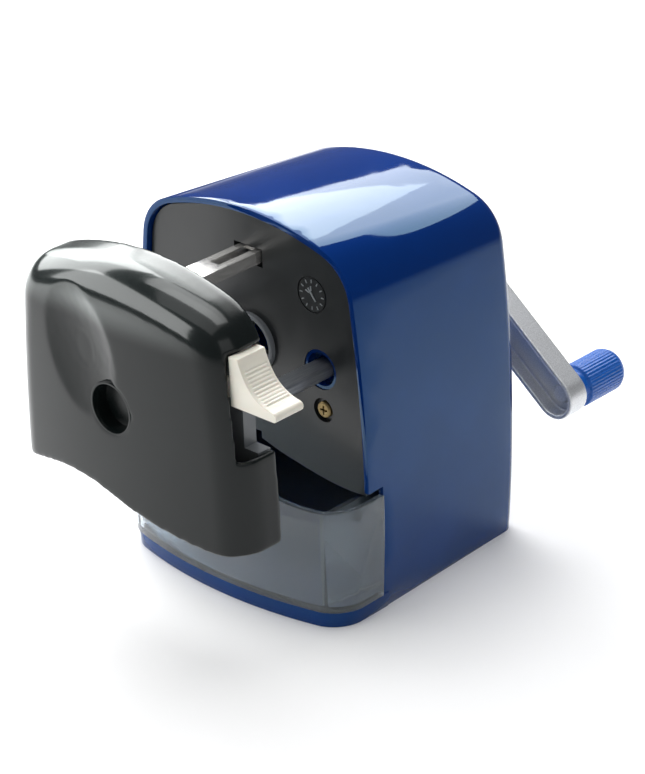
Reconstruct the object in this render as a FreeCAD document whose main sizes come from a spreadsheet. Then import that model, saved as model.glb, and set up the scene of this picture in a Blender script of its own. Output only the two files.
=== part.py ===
"""Desk pencil sharpener with a pull-out head, a side release lever, a crank and a clear drawer.

Frame: +Z up, the front faces -Y, the crank is behind the housing. The origin is on the underside,
in the middle of the footprint. Most pieces are drawn from the housing's front rim backwards, and
`front_frame` and `rim_frame` carry them from there into the frame of the part.
"""
import FreeCAD, Part
import math
import os
import Sketcher
from FreeCAD import Placement, Rotation, Vector

os.makedirs("parts", exist_ok=True)
doc = FreeCAD.newDocument("PencilSharpener")

# ---------------------------------------------------------------------------------------------
# Driving dimensions, in millimetres and degrees
# ---------------------------------------------------------------------------------------------
DIMENSIONS = {
    "rim_to_origin": 24.0,        # the front rim stands this far in front of the origin
    "front_half_width": 42.0,
    "front_top": 107.6,
    "back_half_width": 40.0,
    "back_top": 103.0,
    "housing_depth": 63.5,
    "widest_level": 36.3,         # height at which the arched outline is widest
    "side_radius": 414.0,
    "shoulder_radius": 14.8,
    "crown_radius": 89.7,
    "back_round": 4.5,
    "rim_wall": 1.5,
    "shell_wall": 2.4,
    "floor_top": 4.4,
    "foot_bulge": 15.9,           # the foot and the drawer bow forward this far at the middle
    "axis_level": 68.7,           # height of the pencil's axis
    "guide_spread": 24.6,         # guide bars, left and right of the axis
    "guide_level": 67.9,
    "guide_width": 6.4,
    "guide_thickness": 3.6,
    "guide_round": 1.0,
    "slide_gap": 0.08,
    "rail_level": 93.9,
    "rail_width": 8.0,
    "rail_height": 3.4,
    "rail_wall": 0.9,
    "screw_spread": 25.2,
    "screw_level": 56.3,
    "screw_head_radius": 2.3,
    "screw_radius": 1.25,
    "plate_front": 1.5,
    "plate_thickness": 2.5,
    "collar_radius": 8.4,
    "collar_bore": 7.4,
    "head_pulled_out": 32.1,      # from the rim to the back edge of the head
    "head_top": 106.6,
    "head_face": 50.1,            # from the rim to the head's face at the pencil hole
    "head_crown": 217.0,
    "head_round": 10.0,
    "head_wall": 2.0,
    "entry_radius": 6.55,
    "entry_length": 6.1,
    "shaft_radius": 4.0,
    "running_gap": 0.05,
    "crank_length": 52.6,
    "crank_front": 77.5,
    "crank_thickness": 7.2,
    "crank_half_width": 6.5,
    "crank_angle": -39.4,         # direction of the arm, seen from the front
    "knob_radius": 6.3,
    "knob_length": 18.6,
    "tooth_module": 0.9,
    "ring_teeth": 34,
    "pinion_teeth": 10,
    "ring_outer": 18.3,
    "cutter_radius": 6.0,
    "cutter_tilt": 10.3,
    "axle_radius": 1.5,
    "jaw_travel": 4.0,
    "lever_travel": 20.0,
    "drawer_wall": 1.8,
}

sheet = doc.addObject("Spreadsheet::Sheet", "Dims")
for row, (alias, number) in enumerate(DIMENSIONS.items(), start=1):
    sheet.set(f"A{row}", alias)
    sheet.set(f"B{row}", str(number))
    sheet.setAlias(f"B{row}", alias)
doc.recompute()


class Size:
    """A number worked out from the sheet, together with the expression that works it out."""

    def __init__(self, value, text):
        self.value = value
        self.text = text

    def __add__(self, other):
        return combine(self, "+", other)

    def __radd__(self, other):
        return combine(other, "+", self)

    def __sub__(self, other):
        return combine(self, "-", other)

    def __rsub__(self, other):
        return combine(other, "-", self)

    def __mul__(self, other):
        return combine(self, "*", other)

    def __rmul__(self, other):
        return combine(other, "*", self)

    def __truediv__(self, other):
        return combine(self, "/", other)


def as_size(number):
    """Leave a Size alone and wrap a plain number."""
    return number if isinstance(number, Size) else Size(float(number), repr(float(number)))


def combine(left, sign, right):
    """Work out one step of a sum and write the same step as an expression."""
    left = as_size(left)
    right = as_size(right)
    results = {"+": left.value + right.value, "-": left.value - right.value, "*": left.value * right.value}
    value = left.value / right.value if sign == "/" else results[sign]
    return Size(value, f"({left.text} {sign} {right.text})")


class Dimensions:
    """Reads an alias of the sheet as a Size."""

    def __getattr__(self, alias):
        return Size(float(sheet.get(alias)), f"Dims.{alias}")


dims = Dimensions()
subparts = []


def plain(number):
    """The bare value of a Size or a number."""
    return as_size(number).value


def finish(feature, label, placement=None):
    """Name a finished sub-part, put it in its place and put it on the list that is written out."""
    feature.Label = label
    if placement is not None:
        feature.Placement = placement
    subparts.append(feature)
    return feature


def rim_frame(rotation=None, base=(0, 0, 0)):
    """Placement of a piece drawn in the frame of the rim: x right, y backwards, z up."""
    x, y, z = base
    return Placement(Vector(x, y - plain(dims.rim_to_origin), z), rotation or Rotation())


def front_frame(x, y, z, turn=0.0):
    """Placement of a piece drawn as seen from the front: x right, y up, z towards the front."""
    facing = Rotation(Vector(1, 0, 0), 90).multiply(Rotation(Vector(0, 0, 1), turn))
    return rim_frame(facing, (plain(x), plain(y), plain(z)))


# ---------------------------------------------------------------------------------------------
# Drawing helpers
# ---------------------------------------------------------------------------------------------
def new_body(name):
    return doc.addObject("PartDesign::Body", name)


def new_sketch(body, name, level=0.0, role="XY_Plane"):
    """A sketch on one of the body's own planes, lifted by `level`."""
    plane = [item for item in body.Origin.OriginFeatures if item.Role == role][0]
    sketch = body.newObject("Sketcher::SketchObject", name)
    sketch.AttachmentSupport = [(plane, "")]
    sketch.MapMode = "FlatFace"
    lift = as_size(level)
    sketch.AttachmentOffset = Placement(Vector(0, 0, lift.value), Rotation())
    sketch.setExpression("AttachmentOffset.Base.z", lift.text)
    return sketch


def constrain(sketch, kind, *where, size):
    """Add a dimension to a sketch and bind it to the sheet."""
    size = as_size(size)
    index = sketch.addConstraint(Sketcher.Constraint(kind, *where, size.value))
    sketch.setExpression(f"Constraints[{index}]", size.text)


def pin_point(sketch, geometry, end, x, y):
    """Hold a point of the sketch at x, y from the sketch's origin."""
    for kind, place in (("DistanceX", as_size(x)), ("DistanceY", as_size(y))):
        if abs(place.value) < 1e-9:
            other = -2 if kind == "DistanceX" else -1
            sketch.addConstraint(Sketcher.Constraint("PointOnObject", geometry, end, other))
        else:
            constrain(sketch, kind, -1, 1, geometry, end, size=place)


def draw_circle(sketch, radius, x=0.0, y=0.0):
    circle = Part.Circle(Vector(plain(x), plain(y), 0), Vector(0, 0, 1), plain(radius))
    index = sketch.addGeometry(circle, False)
    constrain(sketch, "Radius", index, size=radius)
    pin_point(sketch, index, 3, x, y)


def draw_polygon(sketch, points):
    """A closed outline of straight lines with every corner held in place."""
    count = len(points)
    flat = [Vector(plain(x), plain(y), 0) for x, y in points]
    sides = [Part.LineSegment(flat[i], flat[(i + 1) % count]) for i in range(count)]
    first = sketch.addGeometry(sides, False)[0]
    for i in range(count):
        following = first + (i + 1) % count
        sketch.addConstraint(Sketcher.Constraint("Coincident", first + i, 2, following, 1))
    for i, (x, y) in enumerate(points):
        pin_point(sketch, first + i, 1, x, y)


def draw_box(sketch, width, height, x=0.0, y=0.0):
    """A rectangle about x, y."""
    right = x + as_size(width) / 2
    left = x - as_size(width) / 2
    top = y + as_size(height) / 2
    bottom = y - as_size(height) / 2
    draw_polygon(sketch, [(left, bottom), (right, bottom), (right, top), (left, top)])


def pad(body, sketch, length, name):
    feature = body.newObject("PartDesign::Pad", name)
    feature.Profile = sketch
    feature.setExpression("Length", as_size(length).text)
    doc.recompute()
    return feature


def pocket(body, sketch, depth, name, upwards=True):
    """Cut a pocket from the sketch upwards (or downwards) and check that it removed something."""
    before = body.Shape.Volume
    feature = body.newObject("PartDesign::Pocket", name)
    feature.Profile = sketch
    feature.Reversed = upwards
    feature.setExpression("Length", as_size(depth).text)
    doc.recompute()
    assert feature.Shape.Volume < before - 1e-6, f"{name} cuts nothing"
    return feature


def revolve(body, sketch, name):
    """Turn a profile, drawn on the XZ plane, about the body's own Z axis."""
    feature = body.newObject("PartDesign::Revolution", name)
    feature.Profile = sketch
    feature.ReferenceAxis = (sketch, ["V_Axis"])
    feature.Angle = 360.0
    doc.recompute()
    return feature


def round_edges(body, base, radius, wanted, name):
    """Fillet the edges of the last feature whose middle satisfies `wanted`."""
    edges = []
    for number, edge in enumerate(base.Shape.Edges, start=1):
        middle = edge.valueAt((edge.FirstParameter + edge.LastParameter) / 2)
        if wanted(edge, middle):
            edges.append(f"Edge{number}")
    feature = body.newObject("PartDesign::Fillet", name)
    feature.Base = (base, edges)
    feature.setExpression("Radius", as_size(radius).text)
    doc.recompute()
    return feature


def turned_piece(label, profile, placement):
    """A turned piece: its half profile is given as (radius, height) corners."""
    body = new_body(label)
    sketch = new_sketch(body, label + "_profile", role="XZ_Plane")
    draw_polygon(sketch, profile)
    revolve(body, sketch, label + "_turned")
    return finish(body, label, placement)


def shape_feature(label, shape, placement=None):
    """A sub-part whose surface is worked out with Part's own functions."""
    feature = doc.addObject("Part::Feature", label)
    feature.Shape = shape
    return finish(feature, label, placement or rim_frame())


def block(x0, x1, y0, y1, z0, z1):
    """A box between two corners."""
    return Part.makeBox(x1 - x0, y1 - y0, z1 - z0, Vector(x0, y0, z0))


def rod(radius, y0, y1, x=0.0, z=0.0):
    """A cylinder along Y."""
    return Part.makeCylinder(radius, y1 - y0, Vector(x, y0, z), Vector(0, 1, 0))


# ---------------------------------------------------------------------------------------------
# The arched outline of the housing, the plate and the head
# ---------------------------------------------------------------------------------------------
def shoulder_centre(half_width, top):
    """Centre of the shoulder's arc, which touches the side's arc and the crown's arc."""
    shoulder = plain(dims.shoulder_radius)
    side_x = half_width - plain(dims.side_radius)
    side_z = plain(dims.widest_level)
    crown_z = top - plain(dims.crown_radius)
    reach_side = plain(dims.side_radius) - shoulder
    reach_crown = plain(dims.crown_radius) - shoulder
    apart = math.hypot(side_x, side_z - crown_z)
    along = (reach_crown ** 2 - reach_side ** 2 + apart ** 2) / (2 * apart)
    across = math.sqrt(reach_crown ** 2 - along ** 2)
    unit_x = side_x / apart
    unit_z = (side_z - crown_z) / apart
    return along * unit_x + across * unit_z, crown_z + along * unit_z - across * unit_x


def side_at(level, half_width, inset=0.0):
    """Half-width of the arched outline at a height below the shoulder."""
    radius = plain(dims.side_radius)
    drop = level - plain(dims.widest_level)
    return half_width - radius + math.sqrt((radius - inset) ** 2 - drop ** 2)


def on_circle(centre, radius, angle):
    return centre[0] + radius * math.cos(angle), centre[1] + radius * math.sin(angle)


def arch_wire(half_width, top, y, inset=0.0, bottom=0.0):
    """The arched outline in the plane y, drawn in by `inset`, with a straight bottom."""
    side_centre = (half_width - plain(dims.side_radius), plain(dims.widest_level))
    crown_centre = (0.0, top - plain(dims.crown_radius))
    shoulder = shoulder_centre(half_width, top)
    side_radius = plain(dims.side_radius) - inset
    shoulder_radius = plain(dims.shoulder_radius) - inset
    crown_radius = plain(dims.crown_radius) - inset
    low = math.asin((bottom - side_centre[1]) / side_radius)
    turn_side = math.atan2(shoulder[1] - side_centre[1], shoulder[0] - side_centre[0])
    turn_crown = math.atan2(shoulder[1] - crown_centre[1], shoulder[0] - crown_centre[0])
    right = [
        on_circle(side_centre, side_radius, low),
        on_circle(side_centre, side_radius, (low + turn_side) / 2),
        on_circle(side_centre, side_radius, turn_side),
        on_circle(shoulder, shoulder_radius, (turn_side + turn_crown) / 2),
        on_circle(crown_centre, crown_radius, turn_crown),
    ]
    crest = (0.0, crown_centre[1] + crown_radius)
    points = right + [crest] + [(-x, z) for x, z in reversed(right)]
    corners = [Vector(x, y, z) for x, z in points]
    edges = [Part.Arc(*corners[i:i + 3]).toShape() for i in range(0, len(corners) - 1, 2)]
    edges.append(Part.LineSegment(corners[-1], corners[0]).toShape())
    return Part.Wire(edges)


def arch_loft(front, back, inset_front=0.0, inset_back=0.0, bottom=0.0):
    """A solid between two arched outlines, each given as (half width, top, y)."""
    wires = [arch_wire(*front, inset_front, bottom), arch_wire(*back, inset_back, bottom)]
    return Part.makeLoft(wires, True, True)


# The wavy line, from the left to the right: high on the left, low on the right
WAVE = [(-48.0, 38.0), (-34.0, 41.4), (-19.0, 43.8), (-3.0, 42.0), (7.0, 39.1), (16.0, 37.3), (30.0, 35.5),
        (48.0, 37.6)]


def below_wave(lift, y0, y1):
    """Everything below the wavy line that the plate, the head and the drawer share."""
    line = Part.BSplineCurve()
    line.interpolate([Vector(x, y0, z + lift) for x, z in WAVE])
    left = Vector(WAVE[0][0], y0, WAVE[0][1] + lift)
    right = Vector(WAVE[-1][0], y0, WAVE[-1][1] + lift)
    deep_right = Vector(right.x, y0, -60)
    deep_left = Vector(left.x, y0, -60)
    edges = [
        line.toShape(),
        Part.LineSegment(right, deep_right).toShape(),
        Part.LineSegment(deep_right, deep_left).toShape(),
        Part.LineSegment(deep_left, left).toShape(),
    ]
    return Part.Face(Part.Wire(edges)).extrude(Vector(0, y1 - y0, 0))


# ---------------------------------------------------------------------------------------------
# The plan outline of the foot and of the drawer's front
# ---------------------------------------------------------------------------------------------
def foot_wire(level, back, grow=0.0):
    """The bowed plan outline at a height, grown outwards, with its straight sides ending at y = back."""
    half = side_at(level, plain(dims.front_half_width))
    bulge = plain(dims.foot_bulge)
    side = (half + grow, -3.0)
    corner = (half - 2.3 + 0.74 * grow, -8.6 - 0.67 * grow)
    shoulder = (half - 7.3 + 0.22 * grow, -11.8 - 0.97 * grow)
    nose = Vector(0, -bulge - grow, level)
    right = [Vector(x, y, level) for x, y in (side, corner, shoulder)]
    left = [Vector(-v.x, v.y, level) for v in right]
    back_right = Vector(half + grow, back, level)
    back_left = Vector(-half - grow, back, level)
    return Part.Wire([
        Part.LineSegment(back_right, right[0]).toShape(),
        Part.Arc(*right).toShape(),
        Part.Arc(right[2], nose, left[2]).toShape(),
        Part.Arc(*reversed(left)).toShape(),
        Part.LineSegment(left[0], back_left).toShape(),
        Part.LineSegment(back_left, back_right).toShape(),
    ])


def foot_loft(low, high, back, grow=0.0):
    """A solid on the bowed plan outline between two heights."""
    middle = (low + high) / 2
    wires = [foot_wire(level, back, grow) for level in (low, middle, high)]
    return Part.makeLoft(wires, True, True)


# ---------------------------------------------------------------------------------------------
# Housing
# ---------------------------------------------------------------------------------------------
FRONT = (plain(dims.front_half_width), plain(dims.front_top))
BACK = (plain(dims.back_half_width), plain(dims.back_top))
DEPTH = plain(dims.housing_depth)
AXIS = plain(dims.axis_level)
WING_BACK = 5.3
WING_TOP = 37.1
HUB_RADIUS = 8.5
HUB_LENGTH = 7.0
BUSH_RADIUS = 6.0
PAD_MARGIN = 5.0
PAD_THICKNESS = 1.5


def upright_edges_behind(shape, y):
    """The vertical edges that stand behind a distance from the rim."""
    return [edge for edge in shape.Edges
            if abs(edge.Vertexes[0].Z - edge.Vertexes[1].Z) > 1 and edge.Vertexes[0].Y > y]


def pad_outline(margin):
    """A sheet with rounded corners under the housing, drawn in by a margin."""
    half = side_at(0.0, plain(dims.back_half_width)) - margin
    front = -plain(dims.foot_bulge) + 6.0 + margin / 2
    back = DEPTH - 3.0 - margin
    sheet_of_rubber = block(-half, half, front, back, 0.0, PAD_THICKNESS)
    return sheet_of_rubber.makeFillet(6.0, upright_edges_behind(sheet_of_rubber, front - 1.0))


def housing_shell():
    outer = arch_loft((*FRONT, 0.0), (*BACK, DEPTH))
    back_edges = [edge for edge in outer.Edges
                  if all(abs(vertex.Y - DEPTH) < 1e-6 for vertex in edge.Vertexes)
                  and edge.valueAt((edge.FirstParameter + edge.LastParameter) / 2).z > 1.0]
    outer = outer.makeFillet(plain(dims.back_round), back_edges)
    inner = arch_loft((*FRONT, -1.0), (*BACK, DEPTH - plain(dims.shell_wall)),
                      plain(dims.rim_wall), plain(dims.shell_wall), plain(dims.floor_top))
    foot = foot_loft(0.0, plain(dims.floor_top), 8.0)
    shell = outer.cut(inner).fuse(foot).removeSplitter()
    for side in (-1, 1):
        edge_x = sorted((side * 36.0, side * 46.0))
        shell = shell.cut(block(*edge_x, -1.0, WING_BACK + 0.4, plain(dims.floor_top), WING_TOP + 0.5))
    hub = rod(HUB_RADIUS, DEPTH - HUB_LENGTH - 2.0, DEPTH - 1.0, 0, AXIS)
    shell = shell.fuse(hub).cut(rod(BUSH_RADIUS, 0, DEPTH + 5, 0, AXIS))
    return shell.cut(pad_outline(PAD_MARGIN)).removeSplitter()


shape_feature("housing_shell", housing_shell())
shape_feature("underside_pad", pad_outline(PAD_MARGIN + 0.1))

PLATE_FRONT = plain(dims.plate_front)
PLATE_BACK = PLATE_FRONT + plain(dims.plate_thickness)


def front_plate():
    """The dark plate that closes the housing's mouth above the drawer."""
    rear = (plain(dims.front_half_width) - 0.13, plain(dims.front_top) - 0.3)
    gap = plain(dims.rim_wall) + 0.45
    plate = arch_loft((*rear, PLATE_FRONT), (*rear, PLATE_BACK), gap, gap)
    plate = plate.cut(below_wave(0.0, PLATE_FRONT - 1, PLATE_BACK + 1))
    holes = [rod(plain(dims.collar_radius) + 0.05, 0, 6, 0, AXIS)]
    notch = block(-1.9, 1.9, 0, 6, 38.0, 42.6)
    holes.append(notch)
    rail = plain(dims.rail_level)
    holes.append(block(-5.1, 5.1, 0, 6, rail - 2.6, rail + 2.6))
    for side in (-1, 1):
        holes.append(rod(5.65, 0, 6, side * plain(dims.guide_spread), plain(dims.guide_level)))
        screw_x = side * plain(dims.screw_spread)
        holes.append(rod(3.4, 0, PLATE_FRONT + 1.3, screw_x, plain(dims.screw_level)))
        holes.append(rod(plain(dims.screw_radius) + 0.25, 0, 6, screw_x, plain(dims.screw_level)))
    ring = rod(5.1, 0, PLATE_FRONT + 0.35, 22.6, 88.7).cut(rod(4.7, 0, 6, 22.6, 88.7))
    holes.append(ring)
    return plate.cut(holes).removeSplitter()


shape_feature("front_plate", front_plate())

turned_piece(
    "opening_collar",
    [(dims.collar_bore, 0), (10.2, 0), (10.2, 1.0), (dims.collar_radius, 1.0), (dims.collar_radius, 4.8),
     (dims.collar_radius - 0.3, 5.1), (dims.collar_bore, 5.1)],
    front_frame(0, PLATE_BACK + 1.1, AXIS),
)

BUSH_FRONT = PLATE_FRONT + 0.3
for side_name, side in (("left", -1), ("right", 1)):
    bush = new_body(side_name + "_guide_bush")
    barrel = new_sketch(bush, side_name + "_bush_barrel")
    draw_circle(barrel, 5.6)
    pad(bush, barrel, 7.2, side_name + "_bush_pad")
    flange = new_sketch(bush, side_name + "_bush_flange", 2.2)
    draw_circle(flange, 6.6)
    pad(bush, flange, 1.8, side_name + "_bush_rim")
    window = new_sketch(bush, side_name + "_bush_window")
    draw_box(window, dims.guide_width + 2 * dims.slide_gap, dims.guide_thickness + 2 * dims.slide_gap)
    pocket(bush, window, 8.0, side_name + "_bush_hole")
    mouth = new_sketch(bush, side_name + "_bush_mouth", 4.2)
    draw_circle(mouth, 4.7)
    pocket(bush, mouth, 4.0, side_name + "_bush_mouth_cut")
    finish(bush, bush.Name, front_frame(side * dims.guide_spread, BUSH_FRONT + 7.2, dims.guide_level))


def screw(length, head=None, head_height=1.4):
    """A cross-slotted screw along -Y with the top of its head at the origin."""
    head = plain(dims.screw_head_radius) if head is None else head
    shank = plain(dims.screw_radius)
    body = rod(head, 0, head_height).fuse(rod(shank, head_height - 0.2, length))
    rim = [edge for edge in body.Edges if abs(edge.BoundBox.YMax) < 1e-6 and edge.Length > 6]
    body = body.makeFillet(0.5, rim)
    slot = block(-1.3, 1.3, -1, 0.8, -0.28, 0.28).fuse(block(-0.28, 0.28, -1, 0.8, -1.3, 1.3))
    return body.cut(slot)


def front_plate_screws():
    """The two screws that hold the plate and the toothed ring, one on each side."""
    screws = []
    for side in (-1, 1):
        one = screw(10.5, head_height=1.3)
        place = Vector(side * plain(dims.screw_spread), PLATE_FRONT, plain(dims.screw_level))
        one.Placement = Placement(place, Rotation())
        screws.append(one)
    return Part.makeCompound(screws)


shape_feature("front_plate_screws", front_plate_screws())

# ---------------------------------------------------------------------------------------------
# Cutting mechanism
# ---------------------------------------------------------------------------------------------
RING_FRONT = 8.2
RING_BACK = 13.2
MODULE = plain(dims.tooth_module)
RING_TEETH = int(plain(dims.ring_teeth))
PINION_TEETH = int(plain(dims.pinion_teeth))
RING_PITCH = MODULE * RING_TEETH / 2
PINION_PITCH = MODULE * PINION_TEETH / 2
PINION_OFFSET = RING_PITCH - PINION_PITCH
PINION_MIDDLE = 10.7


def ring_gear():
    """The fixed internal gear with its two screw ears and their struts."""
    ear_x = plain(dims.screw_spread)
    drop = plain(dims.screw_level) - AXIS
    body = rod(plain(dims.ring_outer), RING_FRONT, RING_BACK, 0, 0)
    for side in (-1, 1):
        body = body.fuse(rod(3.4, PLATE_BACK, RING_BACK, side * ear_x, drop))
        reach = sorted((side * 11.0, side * ear_x))
        body = body.fuse(block(*reach, RING_FRONT, RING_BACK, drop - 2.6, drop + 2.6))
    body = body.cut(rod(RING_PITCH - 0.55, 0, 20, 0, 0))
    space = 2 * math.pi / RING_TEETH
    for number in range(RING_TEETH):
        angle = number * space + math.pi / 2
        outline = []
        for radius, half in ((RING_PITCH - 1.0, 0.31), (RING_PITCH + 1.0, 0.20)):
            for sign in (-1, 1):
                where = angle + sign * half * space
                outline.append(Vector(radius * math.cos(where), RING_FRONT - 1, radius * math.sin(where)))
        corners = [outline[0], outline[1], outline[3], outline[2], outline[0]]
        body = body.cut(Part.Face(Part.makePolygon(corners)).extrude(Vector(0, 10, 0)))
    for side in (-1, 1):
        body = body.cut(rod(plain(dims.screw_radius), 0, 20, side * ear_x, drop))
    return body


shape_feature("ring_gear", ring_gear(), rim_frame(base=(0, 0, AXIS)))

TILT = math.radians(plain(dims.cutter_tilt))


CUTTER_PLACE = Placement(Vector(0, PINION_MIDDLE, -PINION_OFFSET), Rotation(Vector(1, 0, 0), math.degrees(TILT)))


def tilted(shape):
    """A tool drawn along +Y from the pinion's middle, carried onto the cutter's tilted axis."""
    shape.Placement = CUTTER_PLACE
    return shape


def axis_frame():
    """Placement of a piece drawn along +Y on the pencil's axis."""
    return rim_frame(base=(0, 0, AXIS))


def cutter_frame():
    """Placement of a piece drawn along +Y on the cutter's tilted axis."""
    return axis_frame().multiply(CUTTER_PLACE)


AXLE_FRONT = -4.4
AXLE_BACK = 34.5


def cutter_carrier():
    """The yoke that turns with the crank and carries the cutter round the pencil."""
    body = rod(13.8, 5.9, 7.7).fuse(rod(12.5, 42.5, 46.5)).fuse(rod(7.0, 46.5, 50.0))
    bridge = rod(13.6, 7.0, 43.0).cut(rod(10.9, 6.0, 44.0))
    bridge = bridge.cut(block(-20, 20, 6, 44, -20, 4.5))
    body = body.fuse(bridge).cut(rod(5.2, 5.0, 9.0))
    body = body.cut(rod(plain(dims.shaft_radius), 45.0, 52.0))
    return body.cut(tilted(rod(plain(dims.axle_radius), AXLE_FRONT, AXLE_BACK)))


shape_feature("cutter_carrier", cutter_carrier(), axis_frame())
shape_feature("cutter_axle", rod(plain(dims.axle_radius), AXLE_FRONT, AXLE_BACK), cutter_frame())

CUTTER_EDGES = 11
CUTTER_START = 2.6
CUTTER_LENGTH = 25.0
CUTTER_TWIST = math.radians(70)
HUB_OUTER = 2.9


def milling_cutter():
    """The cutting roller: helical edges lofted through turned sections, with a hub for the pinion."""
    radius = plain(dims.cutter_radius)
    wires = []
    steps = 8
    for step in range(steps + 1):
        turn = CUTTER_TWIST * step / steps
        y = CUTTER_START + CUTTER_LENGTH * step / steps
        corners = []
        for edge in range(CUTTER_EDGES):
            for reach, lead in ((radius, 0.0), (radius - 1.1, 0.30)):
                angle = turn + 2 * math.pi * (edge + lead) / CUTTER_EDGES
                corners.append(Vector(reach * math.cos(angle), y, reach * math.sin(angle)))
        wires.append(Part.makePolygon(corners + [corners[0]]))
    roller = Part.makeLoft(wires, True, True)
    hub = rod(HUB_OUTER, -2.0, CUTTER_START + 1.0)
    bore = rod(plain(dims.axle_radius) + plain(dims.running_gap), -10, 60)
    return roller.fuse(hub).cut(bore)


def cutter_pinion():
    """The small gear on the cutter's hub, its teeth set to mesh below the pencil's axis."""
    space = 2 * math.pi / PINION_TEETH
    corners = []
    profile = ((PINION_PITCH - 0.95, -0.32), (PINION_PITCH + 0.42, -0.08), (PINION_PITCH + 0.42, 0.08),
               (PINION_PITCH - 0.95, 0.32))
    for number in range(PINION_TEETH):
        for reach, lead in profile:
            angle = (number + lead) * space - math.pi / 2
            corners.append(Vector(reach * math.cos(angle), -1.5, reach * math.sin(angle)))
    gear = Part.Face(Part.makePolygon(corners + [corners[0]])).extrude(Vector(0, 3.0, 0))
    return gear.cut(rod(HUB_OUTER, -3, 3))


shape_feature("cutter", milling_cutter(), cutter_frame())
shape_feature("cutter_pinion", cutter_pinion(), cutter_frame())

# ---------------------------------------------------------------------------------------------
# Crank
# ---------------------------------------------------------------------------------------------
CRANK_FRONT = plain(dims.crank_front)
CRANK_BACK = CRANK_FRONT + plain(dims.crank_thickness)
CRANK_LENGTH = plain(dims.crank_length)
CRANK_TURN = plain(dims.crank_angle)
COLLAR_FRONT = DEPTH + 0.3
SHAFT_FRONT = 45.0
SHAFT_BACK = CRANK_BACK - 1.0

shaft = new_body("crank_shaft")
round_section = new_sketch(shaft, "shaft_section")
draw_circle(round_section, dims.shaft_radius)
pad(shaft, round_section, SHAFT_BACK - SHAFT_FRONT, "shaft_length")
finish(shaft, "crank_shaft", front_frame(0, SHAFT_BACK, AXIS))

turned_piece(
    "shaft_bush",
    [(dims.shaft_radius + dims.running_gap, 0), (BUSH_RADIUS, 0), (BUSH_RADIUS, 9.0),
     (dims.shaft_radius + dims.running_gap, 9.0)],
    front_frame(0, DEPTH - 0.2, AXIS),
)
turned_piece(
    "crank_collar",
    [(dims.shaft_radius, 0), (6.8, 0), (6.8, 9.0), (7.8, 11.0), (7.8, 12.4), (dims.shaft_radius, 12.4)],
    front_frame(0, CRANK_FRONT - 0.1, AXIS),
)
turned_piece(
    "shaft_ring",
    [(dims.shaft_radius, 0), (6.4, 0), (6.4, 1.0), (dims.shaft_radius, 1.0)],
    front_frame(0, DEPTH - HUB_LENGTH - 2.4, AXIS),
)


def draw_slot(sketch, half_width, length):
    """A stadium outline from the origin along +X."""
    half = plain(half_width)
    reach = plain(length)
    top = sketch.addGeometry(Part.LineSegment(Vector(reach, half, 0), Vector(0, half, 0)), False)
    near = sketch.addGeometry(
        Part.ArcOfCircle(Part.Circle(Vector(0, 0, 0), Vector(0, 0, 1), half), math.pi / 2, 3 * math.pi / 2), False)
    low = sketch.addGeometry(Part.LineSegment(Vector(0, -half, 0), Vector(reach, -half, 0)), False)
    far = sketch.addGeometry(
        Part.ArcOfCircle(Part.Circle(Vector(reach, 0, 0), Vector(0, 0, 1), half), -math.pi / 2, math.pi / 2), False)
    for first, second in ((top, near), (near, low), (low, far), (far, top)):
        sketch.addConstraint(Sketcher.Constraint("Tangent", first, 2, second, 1))
    sketch.addConstraint(Sketcher.Constraint("Coincident", near, 3, -1, 1))
    sketch.addConstraint(Sketcher.Constraint("PointOnObject", far, 3, -1))
    constrain(sketch, "DistanceX", -1, 1, far, 3, size=length)
    constrain(sketch, "Radius", near, size=half_width)


arm = new_body("crank_arm")
arm_outline = new_sketch(arm, "arm_outline")
draw_slot(arm_outline, dims.crank_half_width, dims.crank_length)
pad(arm, arm_outline, dims.crank_thickness, "arm_block")
arm_trough = new_sketch(arm, "arm_trough", dims.crank_thickness - 4.4)
draw_slot(arm_trough, dims.crank_half_width - 1.3, dims.crank_length)
pocket(arm, arm_trough, 6.0, "arm_hollow")
arm_hub = new_sketch(arm, "arm_hub", dims.crank_thickness - 4.6)
draw_circle(arm_hub, 4.9)
pad(arm, arm_hub, 4.6, "arm_boss")
arm_pivot = new_sketch(arm, "arm_pivot")
draw_circle(arm_pivot, dims.shaft_radius)
pocket(arm, arm_pivot, 12.0, "arm_pivot_hole")
PIN_RADIUS = 1.6
pin_hole = new_sketch(arm, "pin_hole")
draw_circle(pin_hole, PIN_RADIUS, dims.crank_length, 0.0)
pocket(arm, pin_hole, 12.0, "arm_pin_hole")
finish(arm, "crank_arm", front_frame(0, CRANK_BACK, AXIS, CRANK_TURN))

PIN_X = CRANK_LENGTH * math.cos(math.radians(CRANK_TURN))
PIN_Z = AXIS + CRANK_LENGTH * math.sin(math.radians(CRANK_TURN))
KNOB_FRONT = CRANK_BACK + 0.3
KNOB_BACK = KNOB_FRONT + plain(dims.knob_length)
TROUGH = CRANK_FRONT + 4.4

turned_piece(
    "knob_pin",
    [(0, 0), (PIN_RADIUS, 0), (PIN_RADIUS, KNOB_BACK - 3.2 - TROUGH), (2.9, KNOB_BACK - 3.2 - TROUGH),
     (2.4, KNOB_BACK - 2.2 - TROUGH), (0, KNOB_BACK - 2.0 - TROUGH)],
    front_frame(PIN_X, KNOB_BACK - 3.2, PIN_Z),
)
turned_piece(
    "knob",
    [(PIN_RADIUS + dims.running_gap, 1.2), (PIN_RADIUS + dims.running_gap + 1.0, 0.6), (4.6, 0.5), (5.6, 0.9),
     (dims.knob_radius, 2.4), (dims.knob_radius, dims.knob_length - 2.6), (5.3, dims.knob_length - 2.2),
     (5.3, dims.knob_length), (PIN_RADIUS + dims.running_gap, dims.knob_length)],
    front_frame(PIN_X, KNOB_BACK, PIN_Z),
)


def crank_screw():
    """The countersunk screw that holds the arm on the shaft's end."""
    return screw(7.0, head=3.6, head_height=1.6)


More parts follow.
